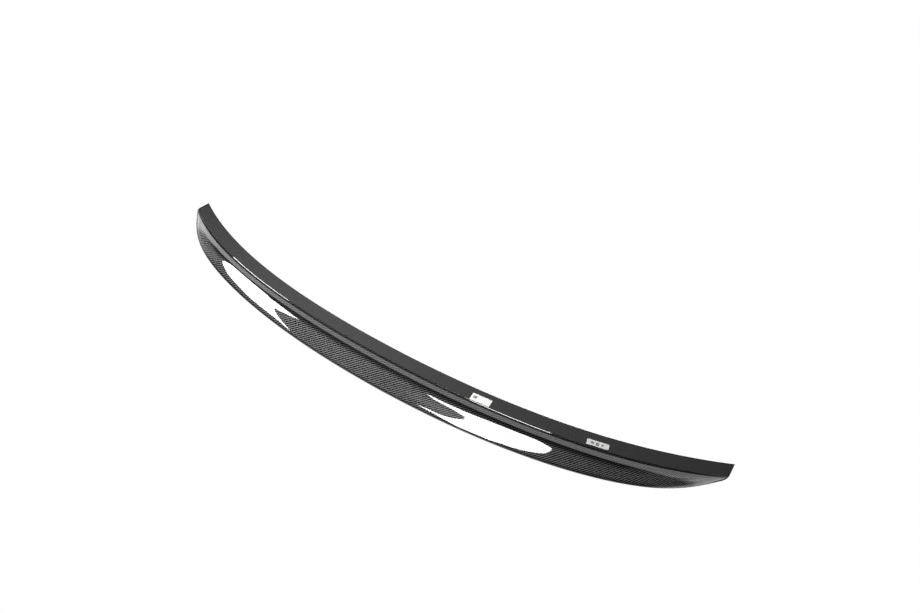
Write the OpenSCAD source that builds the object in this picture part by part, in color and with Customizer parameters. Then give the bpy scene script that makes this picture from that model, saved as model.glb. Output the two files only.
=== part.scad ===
// Rear spoiler for a boot lid: a bowed, hollow moulding with an upswept lip.
// It is drawn as fitted: X across the car, +Y to the front, +Z up.
// The bonding side lies flat on Z = 0, and the origin is at the middle of its outline there.
// Every cross-section is a plane of constant X, so the two ends are cut fore and aft.
// In a section, "a" is the distance behind the front edge, square to that edge, and z is the height.

/* [Overall] */
// Length across the two cut ends
span = 1150; // [900:10:1400]
// How far the front edge bows back at the middle
bow_depth = 116; // [60:2:160]
// Share of the bow that is kept for the ends
bow_end_share = 0.32; // [0:0.02:0.6]
// Radius of the rear corner at each end, seen from above
corner_r = 6; // [3:1:16]

/* [Underside] */
// Width of the matt band at the middle, from the front edge to the seam
band_w = 27.4; // [25:0.2:40]
// How much wider the band is between the middle and each end
band_swell = 2; // [0:0.5:4]
// Width of the shell's rim in front of the backing panel
rim_front = 1.6; // [1:0.2:3]
// Width of the bead along the seam, behind the backing panel
bead_w = 0.8; // [0.4:0.1:1.2]
// How far the bead stands out from the strip behind it
bead_h = 0.7; // [0.2:0.1:0.8]
// Slope of the rear side of the bead
bead_angle = 66; // [40:1:75]
// Width of the flat strip between the bead and the land
strip_w = 4.2; // [0.5:0.1:6]
// Width of the shell's rim at each end
rim_end = 2; // [1:0.5:4]

/* [Rear face] */
// Width of the sloped land between the rim and the rear face
land_w = 8; // [5:0.5:12]
// Slope of the land
land_angle = 25; // [15:1:35]
// Height of the lip at the middle
lip_h = 46; // [36:1:60]
// How far the lip reaches behind the start of the land at the middle
lip_reach = 28; // [25:0.2:44]
// Radius of the lip at the middle
lip_r = 4.5; // [3:0.5:6]
// How far the rear face bulges out of a straight line
face_bulge = 2.5; // [1:0.5:4]
// How long the full height is held before it falls away to the ends
height_hold = 2.15; // [1.6:0.05:6]
// How bluntly the height ends
height_blunt = 0.7; // [0.5:0.02:1]
// How long the full reach is held before it falls away to the ends
reach_hold = 14; // [4:1:16]
// How bluntly the reach ends
reach_blunt = 1.5; // [0.5:0.1:1.8]

/* [Ends] */
// Height of the moulding at its cut ends
tip_h = 3.6; // [3.5:0.1:6]
// How far the moulding reaches behind the start of the land at its cut ends
tip_reach = 1.2; // [1:0.1:4]
// Radius of the rear edge at the cut ends
tip_r = 1; // [0.6:0.1:1.1]
// Width of the flat strip at the cut ends
tip_strip_w = 0.2; // [0.1:0.1:0.5]
// Width of the land at the cut ends
tip_land_w = 0.6; // [0.4:0.1:1]

/* [Top face] */
// Thickness of the rounded front edge
edge_t = 2.4; // [2:0.1:4]
// Where the upsweep turns, as a share of the way from the front edge to the lip
sweep_at = 0.6; // [0.45:0.01:0.7]
// How high the top face has risen there, as a share of its full rise
sweep_rise = 0.18; // [0.1:0.01:0.35]

/* [Shell and panel] */
// Wall of the hollow shell
wall = 2; // [1.2:0.1:2.4]
// Thickness of the backing panel
panel_t = 1.2; // [0.8:0.1:1.4]
// How far the backing panel lies above the rim of the shell
panel_recess = 0.4; // [0.3:0.05:0.6]
// Gap between the edge of the backing panel and the rim
panel_gap = 0.15; // [0.05:0.05:0.4]
// Width of the front ledge that carries the backing panel
ledge_front = 12; // [10:0.5:14]
// Width of the rear ledge that carries the backing panel
ledge_rear = 5; // [3:0.5:7]
// Length of the solid stretch at each end, past the hollow
solid_end = 40; // [30:2:80]

/* [Labels] */
// Length of both paper labels
label_l = 35; // [20:1:45]
// Width of the paper label nearer the middle
label_inner_w = 15.5; // [8:0.5:16]
// Width of the paper label nearer the end
label_outer_w = 11.4; // [8:0.2:14]
// Thickness of the paper
label_t = 0.2; // [0.1:0.05:0.25]
// Radius of the corners of the paper
label_corner_r = 1.5; // [0.5:0.5:3]
// Distance of the inner label's centre from the cut end
label_inner_in = 382; // [330:1:430]
// Distance of the outer label's centre from the cut end
label_outer_in = 188; // [120:1:260]
// Distance of the inner label's centre behind the front edge
label_inner_a = 19.3; // [12:0.1:20]
// Distance of the outer label's centre behind the front edge
label_outer_a = 20.7; // [12:0.1:22]

/* [Hidden] */

// Fineness of the loft and of each stretch of its section
hollow_side_stations = 22;
end_steps = 9;
rim_station_share = 0.6;
nose_steps = 5;
top_steps = 10;
lip_steps = 7;
face_steps = 8;
hollow_steps = 6;
label_fn = 32;

// The hollow starts and stops at these shares of the top face and of the rear face
hollow_top_from = 0.3;
hollow_top_to = 0.84;
hollow_face_to = 0.78;
hollow_face_from = 0.12;

shell_color = [0.11, 0.11, 0.12];
panel_color = [0.2, 0.2, 0.2];
paper_color = [0.93, 0.93, 0.91];

half_span = span / 2;
bead_run = bead_h / tan(bead_angle);
mid_depth = band_w + bead_w + bead_run + strip_w + lip_reach;
front_y = (mid_depth - bow_depth) / 2;
seat_z = panel_recess + panel_t;
nose_r = edge_t / 2;
pocket_x = half_span - rim_end;
hollow_x = half_span - solid_end;

// Bow of the front edge, seen from above

function share(x) = x / half_span;
function bow(x) = bow_depth * ((1 - bow_end_share) * pow(share(x), 2) + bow_end_share * pow(share(x), 4));
function bow_slope(x) =
    bow_depth / half_span * (2 * (1 - bow_end_share) * share(x) + 4 * bow_end_share * pow(share(x), 3));
function bow_angle(x) = atan(bow_slope(x));

// A point of the section at x, in the part's own frame
function place(x, p) = [x, front_y + bow(x) - p[0] / cos(bow_angle(x)), p[1]];

// Sizes that change along the length

function fullness(x, hold, blunt) = pow(max(0, 1 - pow(abs(share(x)), hold)), blunt);
function tall(tip, mid, x) = tip + (mid - tip) * fullness(x, height_hold, height_blunt);
function deep(tip, mid, x) = tip + (mid - tip) * fullness(x, reach_hold, reach_blunt);
function swell(x) = band_swell * sin(180 * pow(share(x), 2));
function past_corner(x) = max(0, abs(x) - (half_span - corner_r));
function corner_cut(x) = corner_r - sqrt(max(0, pow(corner_r, 2) - pow(past_corner(x), 2)));
function seam_a(x) = band_w + swell(x) - corner_cut(x);
function bead_a(x) = seam_a(x) + bead_w + bead_run;
function rim_a(x) = bead_a(x) + deep(tip_strip_w, strip_w, x);

// Points of the section

function polar(r, angle) = r * [cos(angle), sin(angle)];
function toward(p, q) = atan2(q[1] - p[1], q[0] - p[0]);
function curve(p, q, r, t) = pow(1 - t, 2) * p + 2 * t * (1 - t) * q + pow(t, 2) * r;
function curve_angle(p, q, r, t) = toward([0, 0], (1 - t) * (q - p) + t * (r - q));

function lip_radius(x) = tall(tip_r, lip_r, x);
function lip_centre(x) =
    [rim_a(x) + deep(tip_reach, lip_reach, x), tall(tip_h, lip_h, x)] - lip_radius(x) * [1, 1];

function land_start(x) = [rim_a(x), bead_h];
function land_end(x) = land_start(x) + polar(deep(tip_land_w, land_w, x), land_angle);

// The top face leaves the rounded front edge and runs tangent onto the lip
function nose_centre() = [nose_r, nose_r];
function top_start(x) = nose_centre() + nose_r * [0, 1];
function top_turn(x) =
    let (from = top_start(x), to = lip_centre(x))
    [from[0] + sweep_at * (to[0] - from[0]), from[1] + sweep_rise * (to[1] - from[1])];
function top_lip_angle(x) =
    toward(top_turn(x), lip_centre(x)) + asin(lip_radius(x) / norm(lip_centre(x) - top_turn(x)));
function top_end(x) = lip_centre(x) + polar(lip_radius(x), top_lip_angle(x) + 90);
function top_at(x, t) = curve(top_start(x), top_turn(x), top_end(x), t);
function top_inside(x, t) =
    top_at(x, t) + polar(wall, curve_angle(top_start(x), top_turn(x), top_end(x), t) - 90);

// The rear face leaves the land, bulges rearward and runs tangent onto the lip
function face_turn(x) =
    let (from = land_end(x), to = lip_centre(x), full = norm(lip_centre(0) - land_end(0)))
    (from + to) / 2
        + polar(lip_radius(x) / 2 + 2 * face_bulge * norm(to - from) / full, toward(from, to) - 90);
function face_lip_angle(x) =
    toward(face_turn(x), lip_centre(x)) - asin(lip_radius(x) / norm(lip_centre(x) - face_turn(x)));
function face_end(x) = lip_centre(x) + polar(lip_radius(x), face_lip_angle(x) - 90);
function face_at(x, t) = curve(land_end(x), face_turn(x), face_end(x), t);
function face_inside(x, t) =
    face_at(x, t) + polar(wall, curve_angle(land_end(x), face_turn(x), face_end(x), t) + 90);

// Outline of the shell's section, from the front rim over the top and down to the rear rim
function outline(x) = [
    [rim_front, 0],
    for (i = [0 : nose_steps]) nose_centre() + polar(nose_r, 270 - 180 * i / nose_steps),
    for (i = [1 : top_steps]) top_at(x, i / top_steps),
    for (i = [1 : lip_steps])
        lip_centre(x) + polar(lip_radius(x),
            top_lip_angle(x) + 90 - (180 + top_lip_angle(x) - face_lip_angle(x)) * i / lip_steps),
    for (i = [1 : face_steps]) face_at(x, 1 - i / face_steps),
    land_start(x),
    [bead_a(x), bead_h],
    [seam_a(x) + bead_w, 0],
    [seam_a(x), 0]
];

// The recess for the backing panel: its front corner, the two ledge edges and its rear corner
front_corner = 0;
front_edge = 1;
rear_edge = 2;
rear_corner = 3;
function recess(x) = [
    [rim_front, seat_z],
    [rim_front + ledge_front, seat_z],
    [seam_a(x) - ledge_rear, seat_z],
    [seam_a(x), seat_z]
];

// The hollow above the ledges, from the front ledge round to the rear one
function hollow(x) = [
    for (i = [0 : hollow_steps])
        top_inside(x, hollow_top_from + (hollow_top_to - hollow_top_from) * i / hollow_steps),
    for (i = [0 : hollow_steps])
        face_inside(x, hollow_face_to - (hollow_face_to - hollow_face_from) * i / hollow_steps)
];

// Stations along the length: close together at the ends, where the height falls away

function sine_stations(reach, n) = [for (i = [-n : n]) reach * sin(90 * i / n)];
hollow_stations = sine_stations(hollow_x, hollow_side_stations);
end_stations = [for (i = [1 : end_steps]) hollow_x + (pocket_x - hollow_x) * sin(90 * i / end_steps)];
rim_stations = [pocket_x + rim_end * rim_station_share, half_span];
pocket_stations = [
    for (i = [end_steps - 1 : -1 : 0]) -end_stations[i],
    each hollow_stations,
    each end_stations
];
all_stations = [-rim_stations[1], -rim_stations[0], each pocket_stations, each rim_stations];

// The shell: one closed surface with its recess and its hollow
module outer_shell() {
    outer_n = len(outline(0));
    recess_n = len(recess(0));
    hollow_n = len(hollow(0));
    rows = len(all_stations);
    recess_rows = len(pocket_stations);
    hollow_rows = len(hollow_stations);
    recess_first = rows * outer_n;
    hollow_first = recess_first + recess_rows * recess_n;
    first_recess = len(rim_stations);
    last_recess = first_recess + recess_rows - 1;
    first_hollow = first_recess + end_steps;
    last_hollow = first_hollow + hollow_rows - 1;

    points = [
        for (x = all_stations, p = outline(x)) place(x, p),
        for (x = pocket_stations, p = recess(x)) place(x, p),
        for (x = hollow_stations, p = hollow(x)) place(x, p)
    ];

    function o(i, j) = i * outer_n + j;
    function r(i, j) = recess_first + (i - first_recess) * recess_n + j;
    function h(i, j) = hollow_first + (i - first_hollow) * hollow_n + j;
    function quad(a, b, c, d) = [[a, c, b], [a, d, c]];
    function fan(hub, rim) = [for (j = [0 : len(rim) - 2]) [hub, rim[j], rim[j + 1]]];
    function turned(faces) = [for (f = faces) [f[2], f[1], f[0]]];
    function in_recess(i) = i >= first_recess && i < last_recess;
    function in_hollow(i) = i >= first_hollow && i < last_hollow;

    last = outer_n - 1;
    bead_foot = last - 1;
    bead_top = last - 2;
    land_foot = last - 3;
    halfway = nose_steps + floor(top_steps / 2);

    function recess_end(i) =
        fan(
            o(i, last),
            [r(i, rear_corner), r(i, rear_edge), r(i, front_edge), r(i, front_corner), o(i, 0)]
        );
    function cap(i) = [
        each fan(o(i, 0), [for (j = [1 : halfway]) o(i, j)]),
        [o(i, 0), o(i, halfway), o(i, last)],
        [o(i, last), o(i, halfway), o(i, bead_top)],
        [o(i, last), o(i, bead_top), o(i, bead_foot)],
        each fan(o(i, bead_top), [for (j = [halfway : land_foot]) o(i, j)])
    ];

    skin = [
        for (i = [0 : rows - 2], j = [0 : last - 1])
            each quad(o(i, j), o(i, j + 1), o(i + 1, j + 1), o(i + 1, j))
    ];
    foot = [
        for (i = [0 : rows - 2]) if (!in_recess(i))
            each quad(o(i, last), o(i, 0), o(i + 1, 0), o(i + 1, last))
    ];
    recess_walls = [
        for (i = [first_recess : last_recess - 1])
            each [
                each quad(r(i, front_corner), o(i, 0), o(i + 1, 0), r(i + 1, front_corner)),
                each quad(o(i, last), r(i, rear_corner), r(i + 1, rear_corner), o(i + 1, last)),
                each quad(
                    r(i, front_edge), r(i, front_corner), r(i + 1, front_corner), r(i + 1, front_edge)
                ),
                each quad(r(i, rear_corner), r(i, rear_edge), r(i + 1, rear_edge), r(i + 1, rear_corner))
            ]
    ];
    recess_roof = [
        for (i = [first_recess : last_recess - 1]) if (!in_hollow(i))
            each quad(r(i, rear_edge), r(i, front_edge), r(i + 1, front_edge), r(i + 1, rear_edge))
    ];
    recess_ends = [each recess_end(first_recess), each turned(recess_end(last_recess))];
    hollow_walls = [
        for (i = [first_hollow : last_hollow - 1])
            each [
                each quad(h(i, 0), r(i, front_edge), r(i + 1, front_edge), h(i + 1, 0)),
                for (j = [0 : hollow_n - 2])
                    each quad(h(i, j + 1), h(i, j), h(i + 1, j), h(i + 1, j + 1)),
                each quad(
                    r(i, rear_edge), h(i, hollow_n - 1), h(i + 1, hollow_n - 1), r(i + 1, rear_edge)
                )
            ]
    ];
    hollow_ends = [
        [
            r(first_hollow, rear_edge),
            for (j = [hollow_n - 1 : -1 : 0]) h(first_hollow, j),
            r(first_hollow, front_edge)
        ],
        [
            r(last_hollow, front_edge),
            for (j = [0 : hollow_n - 1]) h(last_hollow, j),
            r(last_hollow, rear_edge)
        ]
    ];
    caps = [each cap(0), each turned(cap(rows - 1))];
    color(shell_color)
        polyhedron(
            points,
            [
                each skin, each foot, each recess_walls, each recess_roof,
                each recess_ends, each hollow_walls, each hollow_ends, each caps
            ]
        );
}

// The backing panel: it lies on the ledges and fills the recess, less its gap all round
module backing_panel() {
    end_x = pocket_x - panel_gap;
    stations = [for (x = pocket_stations) max(-end_x, min(end_x, x))];
    function plate(x) = [
        [rim_front + panel_gap, panel_recess],
        [rim_front + panel_gap, seat_z],
        [seam_a(x) - panel_gap, seat_z],
        [seam_a(x) - panel_gap, panel_recess]
    ];
    n = len(plate(0));
    rows = len(stations);
    points = [for (x = stations, p = plate(x)) place(x, p)];
    sides = [
        for (i = [0 : rows - 2], j = [0 : n - 1])
            let (a = i * n + j, b = i * n + (j + 1) % n)
            each [[a, b + n, b], [a, a + n, b + n]]
    ];
    caps = [
        [for (j = [0 : n - 1]) j],
        [for (j = [n - 1 : -1 : 0]) (rows - 1) * n + j]
    ];
    color(panel_color) polyhedron(points, [each sides, each caps]);
}

// A paper label stuck to the underside of the backing panel, in line with the front edge
module paper_label(x, a, width) {
    inset_l = label_l / 2 - label_corner_r;
    inset_w = width / 2 - label_corner_r;
    color(paper_color)
        translate([place(x, [a, 0])[0], place(x, [a, 0])[1], panel_recess - label_t])
            rotate(bow_angle(x))
                linear_extrude(label_t)
                    union() {
                        square([label_l, 2 * inset_w], center = true);
                        square([2 * inset_l, width], center = true);
                        for (sx = [-1, 1], sy = [-1, 1])
                            translate([sx * inset_l, sy * inset_w])
                                circle(label_corner_r, $fn = label_fn);
                    }
}

module label_inner() {
    paper_label(label_inner_in - half_span, label_inner_a, label_inner_w);
}

module label_outer() {
    paper_label(label_outer_in - half_span, label_outer_a, label_outer_w);
}

outer_shell();
backing_panel();
label_inner();
label_outer();
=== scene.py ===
from math import asin, atan, atan2, cos, pi, radians, sin, sqrt, tan

import bpy
from mathutils import Matrix, Vector
from mathutils.bvhtree import BVHTree


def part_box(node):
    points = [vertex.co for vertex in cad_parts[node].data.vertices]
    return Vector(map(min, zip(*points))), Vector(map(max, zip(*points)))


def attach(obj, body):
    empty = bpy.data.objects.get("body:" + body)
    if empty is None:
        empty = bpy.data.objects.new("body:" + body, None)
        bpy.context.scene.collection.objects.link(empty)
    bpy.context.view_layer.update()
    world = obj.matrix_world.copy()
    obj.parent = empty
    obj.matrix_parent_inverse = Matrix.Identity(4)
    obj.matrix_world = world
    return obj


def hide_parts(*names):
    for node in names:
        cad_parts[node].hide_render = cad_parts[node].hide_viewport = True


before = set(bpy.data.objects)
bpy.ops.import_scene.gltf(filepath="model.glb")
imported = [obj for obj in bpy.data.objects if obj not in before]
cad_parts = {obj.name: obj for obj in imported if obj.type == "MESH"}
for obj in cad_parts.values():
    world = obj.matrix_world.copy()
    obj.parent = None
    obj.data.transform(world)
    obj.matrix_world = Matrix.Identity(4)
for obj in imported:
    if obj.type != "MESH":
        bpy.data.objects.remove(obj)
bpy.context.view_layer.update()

MM = 0.001

# Sizes of the moulding, in metres. "a" is the distance behind the front edge, square to it.
HALF_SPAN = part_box("outer_shell")[1].x
BOW_DEPTH = 116 * MM
BOW_END_SHARE = 0.32
CORNER_R = 6 * MM
BAND_W = 27.4 * MM
BAND_SWELL = 2 * MM
RIM_FRONT = 1.6 * MM
RIM_END = 2 * MM
BEAD_W = 0.8 * MM
BEAD_H = 0.7 * MM
BEAD_ANGLE = radians(66)
BEAD_RUN = BEAD_H / tan(BEAD_ANGLE)
STRIP_W = 4.2 * MM
LAND_W = 8 * MM
LAND_ANGLE = radians(25)
LIP_H = 46 * MM
LIP_REACH = 28 * MM
LIP_R = 4.5 * MM
FACE_BULGE = 2.5 * MM
TIP_H = 3.6 * MM
TIP_REACH = 1.2 * MM
TIP_R = 1 * MM
TIP_STRIP_W = 0.2 * MM
TIP_LAND_W = 0.6 * MM
NOSE_R = 1.2 * MM
WALL = 2 * MM
SEAT_Z = 1.6 * MM
LEDGE_FRONT = 12 * MM
LEDGE_REAR = 5 * MM
POCKET_X = HALF_SPAN - RIM_END
HOLLOW_X = HALF_SPAN - 40 * MM
FRONT_Y = (BAND_W + BEAD_W + BEAD_RUN + STRIP_W + LIP_REACH - BOW_DEPTH) / 2

# How the height and the reach run out to the tips: how long they hold, and how blunt they end
HEIGHT_TAPER = (2.15, 0.7)
REACH_TAPER = (14, 1.5)

# Where the top face turns up to the lip, as shares of its reach and of its rise
SWEEP_AT = 0.6
SWEEP_RISE = 0.18

# Fineness of the smooth shell
SIDE_STATIONS = 110
NOSE_STEPS = 10
TOP_STEPS = 26
LIP_STEPS = 18
FACE_STEPS = 26
LAND_STEPS = 5
EDGE_STEPS = 4
SHARP_ANGLE = radians(14)
HOLLOW_STEPS = 6

# Small forms that only the smooth shell has. The rear side of the bead leans less than in the solids:
# its slope in degrees goes by the distance from the middle. STRIP_CORNER is a share of the strip, where
# a second point keeps its corner with the land crisp.
CREASE_ROUND = 1.4 * MM
BEAD_ROUND = 0.12 * MM
BEAD_SLOPES = [(0, 60), (200 * MM, 60), (345 * MM, 51), (385 * MM, 41), (600 * MM, 41)]
STRIP_CORNER = 0.08

# The step where the hollow or the recess ends, and how far the first and last points of a flat underside
# stand in from the outline's own, so that no two points meet
STEP_X = 0.02 * MM
EASE = 0.1 * MM

# Where the hollow starts and stops, as shares of the top face and of the rear face
HOLLOW_TOP = (0.3, 0.84)
HOLLOW_FACE = (0.78, 0.12)

# Painted shade on the weave: the share of its light tows kept beside the crease, round the lip and on the
# strip and bead, and how wide it fades out beside the crease and the lip. On the land the light tows are
# kept at a set share. CREASE_END is where the painted shade at the crease gives out towards the tips, as a
# share of the half span, and LIP_TURN is where the painted shade comes in round the lip, as a share of its
# turn.
CREASE_PAINTED_SHADE = 0.15
CREASE_FADE = (2 * MM, 12 * MM)
CREASE_END = (0.75, 0.86)
LIP_PAINTED_SHADE = 0.4
LIP_FADE = (1 * MM, 5 * MM)
LIP_TURN = (0.4, 0.9)
STRIP_PAINTED_SHADE = 0.3
LAND_TOW_LEVEL = 0.5


def share(x):
    return x / HALF_SPAN


def bow(x):
    """How far forward the front edge is at x."""
    s = share(x)
    return BOW_DEPTH * ((1 - BOW_END_SHARE) * s ** 2 + BOW_END_SHARE * s ** 4)


def bow_angle(x):
    s = share(x)
    return atan(BOW_DEPTH / HALF_SPAN * (2 * (1 - BOW_END_SHARE) * s + 4 * BOW_END_SHARE * s ** 3))


def place(x, p):
    """A point (a, z) of the section at x, in the part's frame."""
    return Vector((x, FRONT_Y + bow(x) - p[0] / cos(bow_angle(x)), p[1]))


def between(tip, middle, x, taper):
    """A size at x, given what it is at the tips and in the middle."""
    hold, blunt = taper
    return tip + (middle - tip) * max(0, 1 - abs(share(x)) ** hold) ** blunt


def polar(r, angle):
    return Vector((r * cos(angle), r * sin(angle)))


def toward(p, q):
    return atan2(q[1] - p[1], q[0] - p[0])


def curve(p, q, r, t):
    """A point of the arc from p to r that is drawn towards q."""
    return (1 - t) ** 2 * p + 2 * t * (1 - t) * q + t ** 2 * r


def curve_angle(p, q, r, t):
    return toward(Vector((0, 0)), (1 - t) * (q - p) + t * (r - q))


def smooth(value, start, end):
    """From 0 at start to 1 at end, with soft ends."""
    t = min(1, max(0, (value - start) / (end - start)))
    return t * t * (3 - 2 * t)


def read_table(table, at):
    """The value at a place, on straight lines between the rows of a table."""
    for (a, low), (b, high) in zip(table, table[1:]):
        if a <= at <= b:
            return low + (high - low) * (at - a) / (b - a)


def rounded(before, corner, after, reach):
    """Points round a corner, from the side of before to the side of after."""
    start = corner + (before - corner).normalized() * reach
    end = corner + (after - corner).normalized() * reach
    return [curve(start, corner, end, i / EDGE_STEPS) for i in range(EDGE_STEPS + 1)]


class Section:
    """The moulding's section at x: its points are (a, z)."""

    def __init__(self, x):
        self.x = x
        past_corner = max(0, abs(x) - (HALF_SPAN - CORNER_R))
        corner_cut = CORNER_R - sqrt(max(0, CORNER_R ** 2 - past_corner ** 2))
        self.seam_a = BAND_W + BAND_SWELL * sin(pi * share(x) ** 2) - corner_cut
        self.bead_a = self.seam_a + BEAD_W + BEAD_RUN
        self.rim_a = self.bead_a + between(TIP_STRIP_W, STRIP_W, x, REACH_TAPER)
        self.bead_slope = radians(read_table(BEAD_SLOPES, abs(x)))
        self.lip_r = between(TIP_R, LIP_R, x, HEIGHT_TAPER)
        reach = between(TIP_REACH, LIP_REACH, x, REACH_TAPER)
        height = between(TIP_H, LIP_H, x, HEIGHT_TAPER)
        self.lip = Vector((self.rim_a + reach - self.lip_r, height - self.lip_r))
        self.land_w = between(TIP_LAND_W, LAND_W, x, REACH_TAPER)
        self.land_start = Vector((self.rim_a, BEAD_H))
        self.land_end = self.land_start + polar(self.land_w, LAND_ANGLE)
        self.nose = Vector((NOSE_R, NOSE_R))
        start = Vector((NOSE_R, 2 * NOSE_R))
        to_lip = self.lip - start
        turn = start + Vector((SWEEP_AT * to_lip.x, SWEEP_RISE * to_lip.y))
        self.top_angle = toward(turn, self.lip) + asin(self.lip_r / (self.lip - turn).length)
        self.top = (start, turn, self.lip + polar(self.lip_r, self.top_angle + pi / 2))
        full = MIDDLE.face_length if x else (self.lip - self.land_end).length
        self.face_length = (self.lip - self.land_end).length
        bulge = self.lip_r / 2 + 2 * FACE_BULGE * self.face_length / full
        turn = (self.land_end + self.lip) / 2 + polar(bulge, toward(self.land_end, self.lip) - pi / 2)
        self.face_angle = toward(turn, self.lip) - asin(self.lip_r / (self.lip - turn).length)
        self.face = (self.land_end, turn, self.lip + polar(self.lip_r, self.face_angle - pi / 2))

    def outline(self):
        """The outline's points, and the painted shade at each, as the share of the weave's light tows that
        is kept.
        """
        points = [Vector((RIM_FRONT, 0))]
        points += [self.nose + polar(NOSE_R, 1.5 * pi - pi * i / NOSE_STEPS) for i in range(NOSE_STEPS + 1)]
        points += [curve(*self.top, i / TOP_STEPS) for i in range(1, TOP_STEPS + 1)]
        painted_shade = [1] * len(points)
        turn = pi + self.top_angle - self.face_angle
        points += [
            self.lip + polar(self.lip_r, self.top_angle + pi / 2 - turn * i / LIP_STEPS)
            for i in range(1, LIP_STEPS + 1)
        ]
        # Painted shade round the lip: the weave's light tows are darkened as the lip turns, and on the rear
        # face next to it
        painted_shade += [
            1 - (1 - LIP_PAINTED_SHADE) * smooth(i / LIP_STEPS, *LIP_TURN) for i in range(1, LIP_STEPS + 1)
        ]
        crease = min(CREASE_ROUND, self.land_w / 3)
        face_from = crease / (2 * (self.face[1] - self.land_end).length)
        points += [
            curve(*self.face, 1 - (1 - face_from) * i / FACE_STEPS) for i in range(1, FACE_STEPS)
        ]
        # Painted shade on the rear face beside the crease, which gives out towards the tips
        end = smooth(abs(share(self.x)), *CREASE_END)
        at_crease = CREASE_PAINTED_SHADE + (1 - CREASE_PAINTED_SHADE) * end
        for p in points[len(painted_shade):]:
            past_crease = smooth((p - self.land_end).length, *CREASE_FADE)
            before_lip = smooth((p - self.face[2]).length, *LIP_FADE)
            painted_shade.append(min(
                at_crease + (1 - at_crease) * past_crease,
                LIP_PAINTED_SHADE + (1 - LIP_PAINTED_SHADE) * before_lip,
            ))
        points += rounded(self.face[1], self.land_end, self.land_start, crease)
        painted_shade += [at_crease] * (len(points) - len(painted_shade) - 1)
        land_from = points[-1]
        points += [land_from.lerp(self.land_start, i / LAND_STEPS) for i in range(1, LAND_STEPS + 1)]
        painted_shade += [LAND_TOW_LEVEL] * (len(points) - len(painted_shade))
        bead_foot = Vector((self.bead_a - BEAD_H / tan(self.bead_slope), 0))
        bead_top = Vector((self.bead_a, BEAD_H))
        seam = Vector((self.seam_a, 0))
        points += [self.land_start.lerp(bead_top, STRIP_CORNER), bead_top]
        points += rounded(bead_top, bead_foot, seam, BEAD_ROUND)
        points.append(seam)
        # Painted shade on the strip and the bead: the weave's light tows are darkened there
        painted_shade += [STRIP_PAINTED_SHADE] * (len(points) - len(painted_shade))
        return points, painted_shade

    def inside(self, arc, stretch, step, side):
        """A point of the hollow, one wall inside the top face or the rear face."""
        t = stretch[0] + (stretch[1] - stretch[0]) * step / HOLLOW_STEPS
        return curve(*arc, t) + polar(WALL, curve_angle(*arc, t) + side * pi / 2)

    def recess(self, has_recess, has_hollow):
        """From the rear corner to the front one, round the hollow if there is one."""
        z = SEAT_Z if has_recess else 0
        front, rear = RIM_FRONT + LEDGE_FRONT, self.seam_a - LEDGE_REAR
        ease = 0 if has_recess else EASE
        count = 2 * (HOLLOW_STEPS + 1)
        if has_hollow:
            hollow = [self.inside(self.top, HOLLOW_TOP, i, -1) for i in range(HOLLOW_STEPS + 1)]
            hollow += [self.inside(self.face, HOLLOW_FACE, i, 1) for i in range(HOLLOW_STEPS + 1)]
        else:
            hollow = [Vector((front + (rear - front) * (i + 1) / (count + 1), z)) for i in range(count)]
        return [
            Vector((self.seam_a - ease, z)), Vector((rear, z)), *reversed(hollow),
            Vector((front, z)), Vector((RIM_FRONT + ease, z)),
        ]


MIDDLE = Section(0)


def add_object(name, data):
    obj = bpy.data.objects.new(name, data)
    bpy.context.scene.collection.objects.link(obj)
    return obj


def stations():
    """Every x with what its section holds: a recess, a hollow."""
    xs = [HALF_SPAN * sin(pi / 2 * i / SIDE_STATIONS) for i in range(SIDE_STATIONS + 1)]
    ends = (HOLLOW_X, HOLLOW_X + STEP_X, POCKET_X, POCKET_X + STEP_X)
    xs = [x for x in xs if all(abs(x - e) > 2 * STEP_X for e in ends)]
    half = sorted([(x, x < POCKET_X, x < HOLLOW_X) for x in xs] + [
        (ends[0], True, True), (ends[1], True, False), (ends[2], True, False), (ends[3], False, False),
    ])
    return [(-x, *rest) for x, *rest in reversed(half[1:])] + half


def shell_rings(rows):
    """All points, with their place on the weave and the painted shade at each."""
    verts, weave, painted_shade = [], [], []
    for x, has_recess, has_hollow in rows:
        section = Section(x)
        outline, shown = section.outline()
        ring = [place(x, p) for p in outline + section.recess(has_recess, has_hollow)]
        # The recess and the hollow take the strip's level of painted shade
        painted_shade += shown + [STRIP_PAINTED_SHADE] * (len(ring) - len(shown))
        v = 0
        for i, p in enumerate(ring):
            if i:
                v += (p - ring[i - 1]).length
            weave.append((x, v))
        verts += ring
    return verts, weave, painted_shade


def shell_faces(count, n):
    """Faces between rings of n points each, and one over each end."""
    faces = []
    for i in range(count - 1):
        for j in range(n):
            a, b = i * n + j, i * n + (j + 1) % n
            faces.append((a, b, b + n, a + n))
    faces.append(tuple(reversed(range(n))))
    faces.append(tuple((count - 1) * n + j for j in range(n)))
    return faces


def build_shell():
    rows = stations()
    verts, weave, painted_shade = shell_rings(rows)
    mesh = bpy.data.meshes.new("shell_skin")
    mesh.from_pydata(verts, [], shell_faces(len(rows), len(verts) // len(rows)))
    layer = mesh.uv_layers.new(name="weave")
    for loop in mesh.loops:
        layer.data[loop.index].uv = weave[loop.vertex_index]
    # Painted shade: the share of the weave's light tows kept at each point
    mesh.attributes.new("painted_shade", "FLOAT", "POINT").data.foreach_set("value", painted_shade)
    mesh.shade_smooth()
    mesh.set_sharp_from_angle(angle=SHARP_ANGLE)
    return add_object("shell_skin", mesh)


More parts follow.
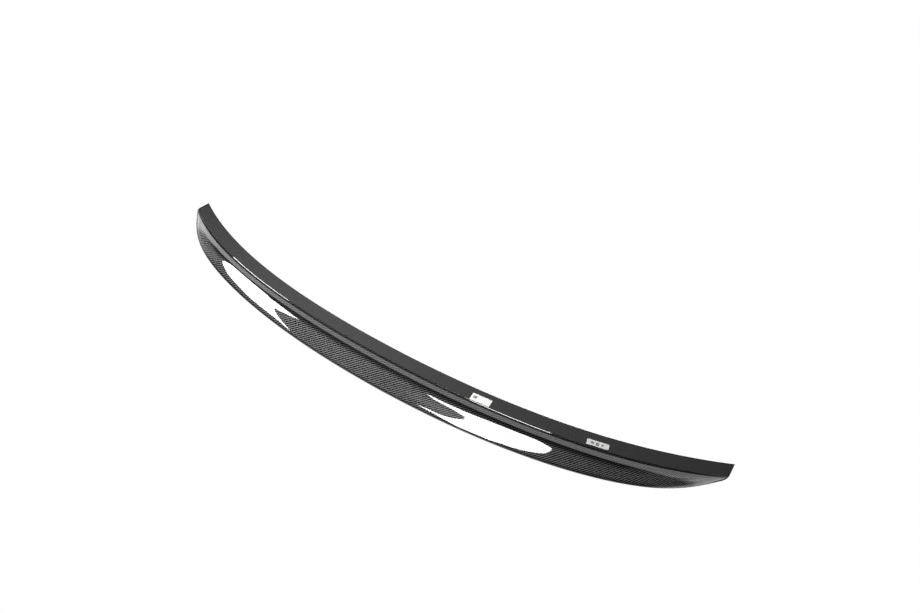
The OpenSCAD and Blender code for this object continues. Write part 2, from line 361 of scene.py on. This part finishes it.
class Nodes:
    """Short calls for a material's node tree."""

    def __init__(self, tree):
        self.tree = tree

    def add(self, kind, **settings):
        node = self.tree.nodes.new(kind)
        for key, value in settings.items():
            setattr(node, key, value)
        return node

    def link(self, source, target):
        self.tree.links.new(source, target)

    def math(self, operation, *values):
        node = self.add("ShaderNodeMath", operation=operation)
        for i, value in enumerate(values):
            if isinstance(value, (int, float)):
                node.inputs[i].default_value = value
            else:
                self.link(value, node.inputs[i])
        return node.outputs[0]

    def mix(self, factor, low, high):
        node = self.add("ShaderNodeMix", data_type="RGBA")
        for name, value in (("Factor", factor), ("A", low), ("B", high)):
            sockets = [s for s in node.inputs if s.name == name and s.enabled]
            if isinstance(value, tuple):
                sockets[0].default_value = (*value, 1)
            elif isinstance(value, (int, float)):
                sockets[0].default_value = value
            else:
                self.link(value, sockets[0])
        return [s for s in node.outputs if s.enabled][0]

    def blend(self, factor, low, high):
        """One shader where the factor is 0, and the other where it is 1."""
        node = self.add("ShaderNodeMixShader")
        self.link(factor, node.inputs[0])
        self.link(low.outputs[0], node.inputs[1])
        self.link(high.outputs[0], node.inputs[2])
        return node


def new_material(name):
    material = bpy.data.materials.new(name)
    material.use_nodes = True
    nodes = Nodes(material.node_tree)
    return material, nodes, material.node_tree.nodes["Principled BSDF"]


# The cloth: a 2/2 twill, four tows to a repeat, laid along the bow. Its running rib gives most of its
# light, and the tows that lie on top give the rest.
TOW_ALONG = 1.45 * MM
TOW_ACROSS = 1.18 * MM
RIB_SHARE = 0.82
RIB_SOFT = 0.8
TOW_HEIGHT = 0.2 * MM
CLOTH_DARK = (0.002, 0.002, 0.002)
CLOTH_LIGHT = (0.145, 0.145, 0.147)

# The matt reverse and the paper: fine grain, its scale per metre, between two near colours
MATT_GRAIN = 900
MATT_DARK = (0.036, 0.036, 0.036)
MATT_LIGHT = (0.058, 0.058, 0.058)
PAPER_GRAIN = 400
PAPER_DARK = (0.9, 0.9, 0.88)
PAPER_LIGHT = (0.95, 0.95, 0.93)
BLOCK_GREY = (0.3, 0.3, 0.3)


def twill(nodes):
    """How light the weave is, and how high it stands, both from 0 to 1."""
    uv = nodes.add("ShaderNodeUVMap", uv_map="weave")
    split = nodes.add("ShaderNodeSeparateXYZ")
    nodes.link(uv.outputs[0], split.inputs[0])
    u = nodes.math("MULTIPLY", split.outputs[0], 1 / TOW_ALONG)
    v = nodes.math("MULTIPLY", split.outputs[1], 1 / TOW_ACROSS)
    fu, fv = nodes.math("FRACT", u), nodes.math("FRACT", v)
    sum_ij = nodes.math("ADD", nodes.math("FLOOR", u), nodes.math("FLOOR", v))
    top = nodes.math("LESS_THAN", nodes.math("FLOORED_MODULO", sum_ij, 4), 1.5)

    def humped(value):
        return nodes.math("SINE", nodes.math("MULTIPLY", value, pi))

    height = nodes.math("ADD", nodes.math("MULTIPLY", humped(fu), top),
                        nodes.math("MULTIPLY", humped(fv), nodes.math("SUBTRACT", 1, top)))
    wave = nodes.math("SINE", nodes.math("MULTIPLY", nodes.math("ADD", u, v), pi / 2))
    rib = nodes.add("ShaderNodeMapRange", interpolation_type="SMOOTHSTEP")
    rib.inputs["From Min"].default_value = -RIB_SOFT
    rib.inputs["From Max"].default_value = RIB_SOFT
    rib.inputs["To Max"].default_value = RIB_SHARE
    nodes.link(wave, rib.inputs["Value"])
    light = nodes.math("ADD", rib.outputs[0], nodes.math("MULTIPLY", top, 1 - RIB_SHARE))
    return light, height


def carbon_material():
    material, nodes, shader = new_material("carbon_gloss")
    light, height = twill(nodes)
    # Painted shade: the weave's light tows are darkened beside the crease, round the lip and on the strip
    # and bead
    painted_shade = nodes.add("ShaderNodeAttribute", attribute_name="painted_shade")
    lit = nodes.math("MULTIPLY", light, painted_shade.outputs["Fac"])
    color = nodes.mix(lit, CLOTH_DARK, CLOTH_LIGHT)
    nodes.link(color, shader.inputs["Base Color"])
    shader.inputs["Roughness"].default_value = 0.5
    shader.inputs["Specular IOR Level"].default_value = 0
    shader.inputs["Coat Weight"].default_value = 1
    shader.inputs["Coat Roughness"].default_value = 0.03
    shader.inputs["Coat IOR"].default_value = 1.5
    bump = nodes.add("ShaderNodeBump")
    bump.inputs["Strength"].default_value = 0.6
    bump.inputs["Distance"].default_value = TOW_HEIGHT
    nodes.link(height, bump.inputs["Height"])
    nodes.link(bump.outputs[0], shader.inputs["Normal"])
    return material


def speckle(nodes, coords, scale, dark, light):
    """Fine grain between two near colours."""
    noise = nodes.add("ShaderNodeTexNoise")
    noise.inputs["Scale"].default_value = scale
    nodes.link(coords.outputs["Object"], noise.inputs["Vector"])
    return nodes.mix(noise.outputs["Fac"], dark, light)


def matt_material():
    material, nodes, shader = new_material("matt_backing")
    coords = nodes.add("ShaderNodeTexCoord")
    color = speckle(nodes, coords, MATT_GRAIN, MATT_DARK, MATT_LIGHT)
    nodes.link(color, shader.inputs["Base Color"])
    shader.inputs["Roughness"].default_value = 0.6
    shader.inputs["Specular IOR Level"].default_value = 0.08
    return material


# Where each label lies along X and behind the front edge, and the plain grey blocks on it: place along
# and across the label, and half their length and width, in mm
LABELS = {
    "label_inner": (-193 * MM, 19.3 * MM, [(10.5, 0.5, 3, 3.2)]),
    "label_outer": (-387 * MM, 20.7 * MM, [(8.5, 0, 2.6, 2.4), (0.5, -0.5, 2.4, 3.2), (-7.5, 0, 1.8, 2.2)]),
}


def paper_material(name):
    x, a, blocks = LABELS[name]
    material, nodes, shader = new_material(name + "_paper")
    coords = nodes.add("ShaderNodeTexCoord")
    paper = speckle(nodes, coords, PAPER_GRAIN, PAPER_DARK, PAPER_LIGHT)
    local = nodes.add("ShaderNodeMapping", vector_type="TEXTURE")
    local.inputs["Location"].default_value = place(x, (a, 0))
    local.inputs["Rotation"].default_value = (0, 0, bow_angle(x))
    nodes.link(coords.outputs["Object"], local.inputs["Vector"])
    split = nodes.add("ShaderNodeSeparateXYZ")
    nodes.link(local.outputs[0], split.inputs[0])

    def within(value, middle, half):
        far = nodes.math("ABSOLUTE", nodes.math("SUBTRACT", value, middle * MM))
        return nodes.math("LESS_THAN", far, half * MM)

    printed = 0
    for along, across, half_length, half_width in blocks:
        inside_x = within(split.outputs[0], along, half_length)
        inside_y = within(split.outputs[1], across, half_width)
        printed = nodes.math("MAXIMUM", printed, nodes.math("MULTIPLY", inside_x, inside_y))
    color = nodes.mix(printed, paper, BLOCK_GREY)
    nodes.link(color, shader.inputs["Base Color"])
    shader.inputs["Roughness"].default_value = 0.8
    shader.inputs["Specular IOR Level"].default_value = 0.2
    return material


def paint(obj, material):
    obj.data.materials.clear()
    obj.data.materials.append(material)


shell = build_shell()
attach(shell, "root")
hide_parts("outer_shell")
paint(shell, carbon_material())
paint(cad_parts["backing_panel"], matt_material())
for name in LABELS:
    paint(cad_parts[name], paper_material(name))


# The stage: distances in metres from the part
FLOOR_SIZE = 30
FLOOR_Z = -0.2 * MM
FLOOR_FADE = (0.55, 1.3)
DIM_WORLD = 0.15
CAMERA_PLACE = Vector((-564.2, -778.6, -870.4)) * MM
CAMERA_RIGHT = Vector((-0.83095, 0.55115, -0.07588))
CAMERA_UP = Vector((0.40099, 0.49877, -0.76840))
CAMERA_LENS = 28.885
CAMERA_SENSOR = 36
PHOTO_SIZE = (920, 613)


def floor_material():
    """Pale near the part and white far off. It is see-through from below, where the camera is."""
    material = bpy.data.materials.new("floor")
    material.use_nodes = True
    nodes = Nodes(material.node_tree)
    material.node_tree.nodes.clear()
    output = nodes.add("ShaderNodeOutputMaterial")
    diffuse = nodes.add("ShaderNodeBsdfDiffuse")
    diffuse.inputs["Color"].default_value = (0.8, 0.8, 0.8, 1)
    clear = nodes.add("ShaderNodeBsdfTransparent")
    white = nodes.add("ShaderNodeEmission")
    coords = nodes.add("ShaderNodeTexCoord")
    away = nodes.add("ShaderNodeVectorMath", operation="LENGTH")
    nodes.link(coords.outputs["Object"], away.inputs[0])
    far = nodes.add("ShaderNodeMapRange", interpolation_type="SMOOTHSTEP")
    far.inputs["From Min"].default_value = FLOOR_FADE[0]
    far.inputs["From Max"].default_value = FLOOR_FADE[1]
    nodes.link(away.outputs["Value"], far.inputs["Value"])
    side = nodes.add("ShaderNodeNewGeometry")
    top = nodes.blend(far.outputs[0], diffuse, white)
    mix = nodes.blend(side.outputs["Backfacing"], top, clear)
    nodes.link(mix.outputs[0], output.inputs[0])
    return material


def make_floor():
    mesh = bpy.data.meshes.new("floor")
    corners = [(-1, -1), (1, -1), (1, 1), (-1, 1)]
    verts = [(FLOOR_SIZE * x, FLOOR_SIZE * y, FLOOR_Z) for x, y in corners]
    mesh.from_pydata(verts, [], [(0, 1, 2, 3)])
    floor = add_object("floor", mesh)
    floor.visible_diffuse = False
    floor.visible_glossy = False
    floor.visible_transmission = False
    floor.visible_shadow = False
    floor.data.materials.append(floor_material())


def make_world():
    """White where it is seen, straight or in gloss, and dim as a light."""
    world = bpy.data.worlds.new("studio")
    bpy.context.scene.world = world
    world.use_nodes = True
    nodes = Nodes(world.node_tree)
    background = world.node_tree.nodes["Background"]
    path = nodes.add("ShaderNodeLightPath")
    seen = nodes.math("MAXIMUM", path.outputs["Is Camera Ray"], path.outputs["Is Glossy Ray"])
    seen = nodes.math("MAXIMUM", seen, path.outputs["Is Transmission Ray"])
    strength = nodes.math("ADD", DIM_WORLD, nodes.math("MULTIPLY", seen, 1 - DIM_WORLD))
    background.inputs["Color"].default_value = (1, 1, 1, 1)
    nodes.link(strength, background.inputs["Strength"])


def make_camera():
    """The photo's camera: behind and below the part, which lies upside down in the photo."""
    data = bpy.data.cameras.new("camera")
    data.sensor_fit = "HORIZONTAL"
    data.sensor_width = CAMERA_SENSOR
    data.lens = CAMERA_LENS
    camera = add_object("camera", data)
    axes = (CAMERA_RIGHT, CAMERA_UP, CAMERA_RIGHT.cross(CAMERA_UP), CAMERA_PLACE)
    camera.matrix_world = Matrix([[axis[i] for axis in axes] for i in range(3)] + [[0, 0, 0, 1]])
    bpy.context.scene.camera = camera


def area_lamp(name, spot, target, size, power):
    """A soft square lamp that the gloss does not show."""
    data = bpy.data.lights.new(name, "AREA")
    data.shape = "RECTANGLE"
    data.size = size
    data.size_y = size
    data.energy = power
    lamp = add_object(name, data)
    lamp.location = spot
    lamp.rotation_mode = "QUATERNION"
    lamp.rotation_quaternion = (Vector(target) - Vector(spot)).to_track_quat("-Z", "Y")
    lamp.visible_glossy = False


def only_in_gloss(obj):
    """A stage piece that nothing but the gloss of the part shows."""
    obj.visible_camera = False
    obj.visible_diffuse = False
    obj.visible_transmission = False
    obj.visible_shadow = False
    obj.visible_volume_scatter = False


def glow_material(name, strength):
    material = bpy.data.materials.new(name)
    material.use_nodes = True
    nodes = Nodes(material.node_tree)
    material.node_tree.nodes.clear()
    output = nodes.add("ShaderNodeOutputMaterial")
    glow = nodes.add("ShaderNodeEmission")
    glow.inputs["Strength"].default_value = strength
    nodes.link(glow.outputs[0], output.inputs[0])
    return material


def heading(azimuth, elevation):
    """A direction: azimuth from the rear towards -X, elevation towards -Z, where the photo's ceiling is."""
    az, el = radians(azimuth), radians(elevation)
    return Vector((-sin(az) * cos(el), -cos(az) * cos(el), -sin(el)))


def card_axes(azimuth, elevation):
    """The direction that a card lies in, its right and its up."""
    out = heading(azimuth, elevation)
    right = Vector((0, 0, -1)).cross(out).normalized()
    return out, right, out.cross(right)


def light_card(name, azimuth, elevation, distance, outline, strength):
    """A flat bright card that faces the part, its outline in metres to the right and up."""
    out, right, up = card_axes(azimuth, elevation)
    verts = [out * distance + right * h + up * v for h, v in outline]
    mesh = bpy.data.meshes.new(name)
    mesh.from_pydata(verts, [], [tuple(range(len(verts)))])
    mesh.materials.append(glow_material(name, strength))
    card = add_object(name, mesh)
    only_in_gloss(card)


# Keeps a spot right at a corner of a face from a division by nothing
CORNER_EASE = 0.001 * MM


class Mirror:
    """The shell's gloss, as the photo's camera sees it."""

    def __init__(self, obj):
        self.mesh = obj.data
        polygons = [tuple(p.vertices) for p in self.mesh.polygons]
        self.tree = BVHTree.FromPolygons([v.co for v in self.mesh.vertices], polygons)

    def normal(self, spot, polygon):
        """The smooth normal, in which a near corner of the polygon counts for more."""
        total = Vector((0, 0, 0))
        for i in polygon.loop_indices:
            corner = self.mesh.vertices[self.mesh.loops[i].vertex_index].co
            total += self.mesh.corner_normals[i].vector / ((corner - spot).length + CORNER_EASE)
        return total.normalized()

    def trace(self, x, y):
        """The spot on the shell at a pixel of the photo, and the direction that the gloss shows there."""
        view = (x - PHOTO_SIZE[0] / 2) * CAMERA_RIGHT - (y - PHOTO_SIZE[1] / 2) * CAMERA_UP
        view -= CAMERA_LENS / CAMERA_SENSOR * PHOTO_SIZE[0] * CAMERA_RIGHT.cross(CAMERA_UP)
        view.normalize()
        spot, _, index, _ = self.tree.ray_cast(CAMERA_PLACE, view)
        normal = self.normal(spot, self.mesh.polygons[index])
        return spot, view - 2 * view.dot(normal) * normal


def outline_for(highlight, mirror, azimuth, elevation, distance):
    """The outline that a card needs to give a highlight, in metres to the right and up."""
    (corner_x, corner_y), zoom, picks = highlight
    out, right, up = card_axes(azimuth, elevation)
    outline = []
    for x, y in picks:
        spot, shown = mirror.trace(corner_x + x / zoom, corner_y + y / zoom)
        point = spot + shown * (distance - spot.dot(out)) / shown.dot(out)
        outline.append((point.dot(right), point.dot(up)))
    return outline


# The lowest elevation of the light ceiling, by azimuth, in degrees
CEILING_EDGE = [
    (-180, 84), (-130, 78), (-112, 60), (-100, 20), (-94, 26), (-88, 32), (-80, 43), (-68, 54), (-50, 63),
    (-20, 70), (20, 72), (45, 74), (52, 74), (60, 64), (66, 60), (72, 50), (100, 50), (130, 78), (180, 84),
]
EDGE_BLUR = 2


def ceiling_glow(azimuth, elevation):
    """The light ceiling over the part as it lies in the photo, brighter towards both ends."""
    edge = read_table(CEILING_EDGE, azimuth)
    ceiling = 2.3 + 1.2 * smooth(-azimuth, 74, 88) + 2.6 * smooth(-azimuth, 88, 93)
    ceiling += smooth(azimuth, 64, 72) * smooth(-elevation, -73, -64)
    return ceiling * smooth(elevation, edge - EDGE_BLUR, edge + EDGE_BLUR)


def far_end_glow(azimuth, elevation):
    """The pale wall past the end at +X, which is the farther one from the camera."""
    far_end = 0.8 * smooth(-azimuth, 62, 70) + 0.4 * smooth(-azimuth, 82, 85)
    far_end += 1.2 * smooth(-azimuth, 85.5, 88) + 3 * smooth(-azimuth, 88, 91)
    far_end += 1.2 * smooth(-azimuth, 68, 76) * smooth(-elevation, -20, -2)
    far_end *= smooth(-elevation, -31, -24) * smooth(azimuth, -125, -110)
    return far_end * (0.1 + 0.9 * smooth(elevation, -4, 4))


def near_end_glow(azimuth, elevation):
    """The bright side past the end at -X, which is the nearer one to the camera."""
    side = 4.5 * smooth(azimuth, 54, 61) * smooth(-elevation, -64, -52)
    side += 12 * (smooth(azimuth, 30, 50) - 0.8 * smooth(azimuth, 50, 60)) * smooth(-elevation, -34, 2)
    side *= 1 - 0.85 * smooth(azimuth, 72, 84)
    return side * (0.12 + 0.88 * smooth(elevation, -8, 1))


def patch_glow(azimuth, elevation):
    """A dim oval patch, which shows between the two inner points of the nearer long highlight."""
    return 1.3 * max(0, 1 - ((azimuth + 14) / 8) ** 2 - ((elevation - 6) / 13) ** 2)


def glow_at(azimuth, elevation):
    """How bright the studio is in a direction."""
    glows = (ceiling_glow, far_end_glow, near_end_glow, patch_glow)
    return max(glow(azimuth, elevation) for glow in glows)


DOME_RINGS = 46
DOME_STEPS = 96


def studio_dome(lowest, distance):
    """The studio round and over the part as it lies in the photo: dark, but for its soft lights."""
    verts, glow = [], []
    for i in range(DOME_RINGS + 1):
        for j in range(DOME_STEPS):
            elevation = 90 - (90 - lowest) * i / DOME_RINGS
            azimuth = 360 * j / DOME_STEPS - 180
            verts.append(distance * heading(azimuth, elevation))
            glow.append(glow_at(azimuth, elevation))
    faces = []
    for i in range(DOME_RINGS):
        for j in range(DOME_STEPS):
            a, b = i * DOME_STEPS + j, i * DOME_STEPS + (j + 1) % DOME_STEPS
            faces.append((a, a + DOME_STEPS, b + DOME_STEPS, b))
    mesh = bpy.data.meshes.new("studio_dome")
    mesh.from_pydata(verts, [], faces)
    mesh.attributes.new("glow", "FLOAT", "POINT").data.foreach_set("value", glow)
    material = glow_material("studio_dome", 1)
    nodes = Nodes(material.node_tree)
    value = nodes.add("ShaderNodeAttribute", attribute_name="glow")
    nodes.link(value.outputs["Fac"], material.node_tree.nodes["Emission"].inputs["Strength"])
    mesh.materials.append(material)
    only_in_gloss(add_object("studio_dome", mesh))


# The outlines of the two long highlights, picked on enlarged crops of the photo. Each crop has its
# corner in the photo's pixels and its zoom, and the picks are in the crop's own pixels.
LEFT_PICKS = [
    (1290, 1080), (1390, 1150), (1240, 1090), (1040, 990), (978, 950), (990, 1010), (1020, 1070),
    (1080, 1150), (1150, 1230), (1260, 1345), (1100, 1205), (980, 1110), (760, 940), (560, 770),
    (460, 670), (300, 500), (220, 400), (170, 320), (140, 250), (135, 180), (160, 180),
]
RIGHT_PICKS = [
    (125, 100), (330, 195), (560, 295), (800, 390), (1040, 490), (1160, 535), (1290, 585), (1380, 630),
    (1475, 680), (1475, 705), (1440, 725), (1400, 740), (1300, 730), (1150, 700), (1040, 670),
    (920, 630), (800, 590), (680, 540), (560, 490), (440, 435), (320, 375), (200, 310), (20, 210),
    (150, 265), (250, 310), (330, 340), (420, 365), (530, 375), (540, 345), (470, 300), (380, 250),
    (200, 150),
]
LEFT_HIGHLIGHT = ((215, 250), 16.505, LEFT_PICKS)
RIGHT_HIGHLIGHT = ((415, 385), 10.814, RIGHT_PICKS)

# Where each side card is: azimuth, elevation and distance. The upper edge of the left card is given
# separately, in metres to the right and up.
LEFT_AT = (-52, 12, 1.8)
RIGHT_AT = (-6, 14, 1.8)
LEFT_UPPER_EDGE = [
    (-0.66, 0.45), (-0.56, 0.47), (-0.42, 0.42), (-0.233, 0.355), (-0.12, 0.29), (-0.03, 0.28),
    (0.049, 0.265),
]
TOP_CARD = [(-1.3, -0.25), (1.3, -0.25), (1.3, 0.25), (-1.3, 0.25)]

make_floor()
make_world()
make_camera()

# Each lamp: place, aim, size and power. Each card: azimuth, elevation, distance, outline and strength.
area_lamp("key_above", (-1.2, -1.2, 2.2), (0, 0, 0), 1.5, 70)
area_lamp("fill_front", (0.8, 1.6, 1.4), (0, 0, 0), 1.5, 30)
area_lamp("key_below", (0.2, -0.45, -0.5), (0.08, 0, 0), 0.4, 8.4)
mirror = Mirror(shell)
left_outline = outline_for(LEFT_HIGHLIGHT, mirror, *LEFT_AT) + LEFT_UPPER_EDGE
light_card("left_card", *LEFT_AT, left_outline, 34)
light_card("right_card", *RIGHT_AT, outline_for(RIGHT_HIGHLIGHT, mirror, *RIGHT_AT), 30)
light_card("front_card", 165, -48, 2.5, TOP_CARD, 7)
light_card("rear_card", 10, -58, 2.5, TOP_CARD, 5)
studio_dome(-24, 40)
bpy.context.scene.view_settings.view_transform = "Standard"
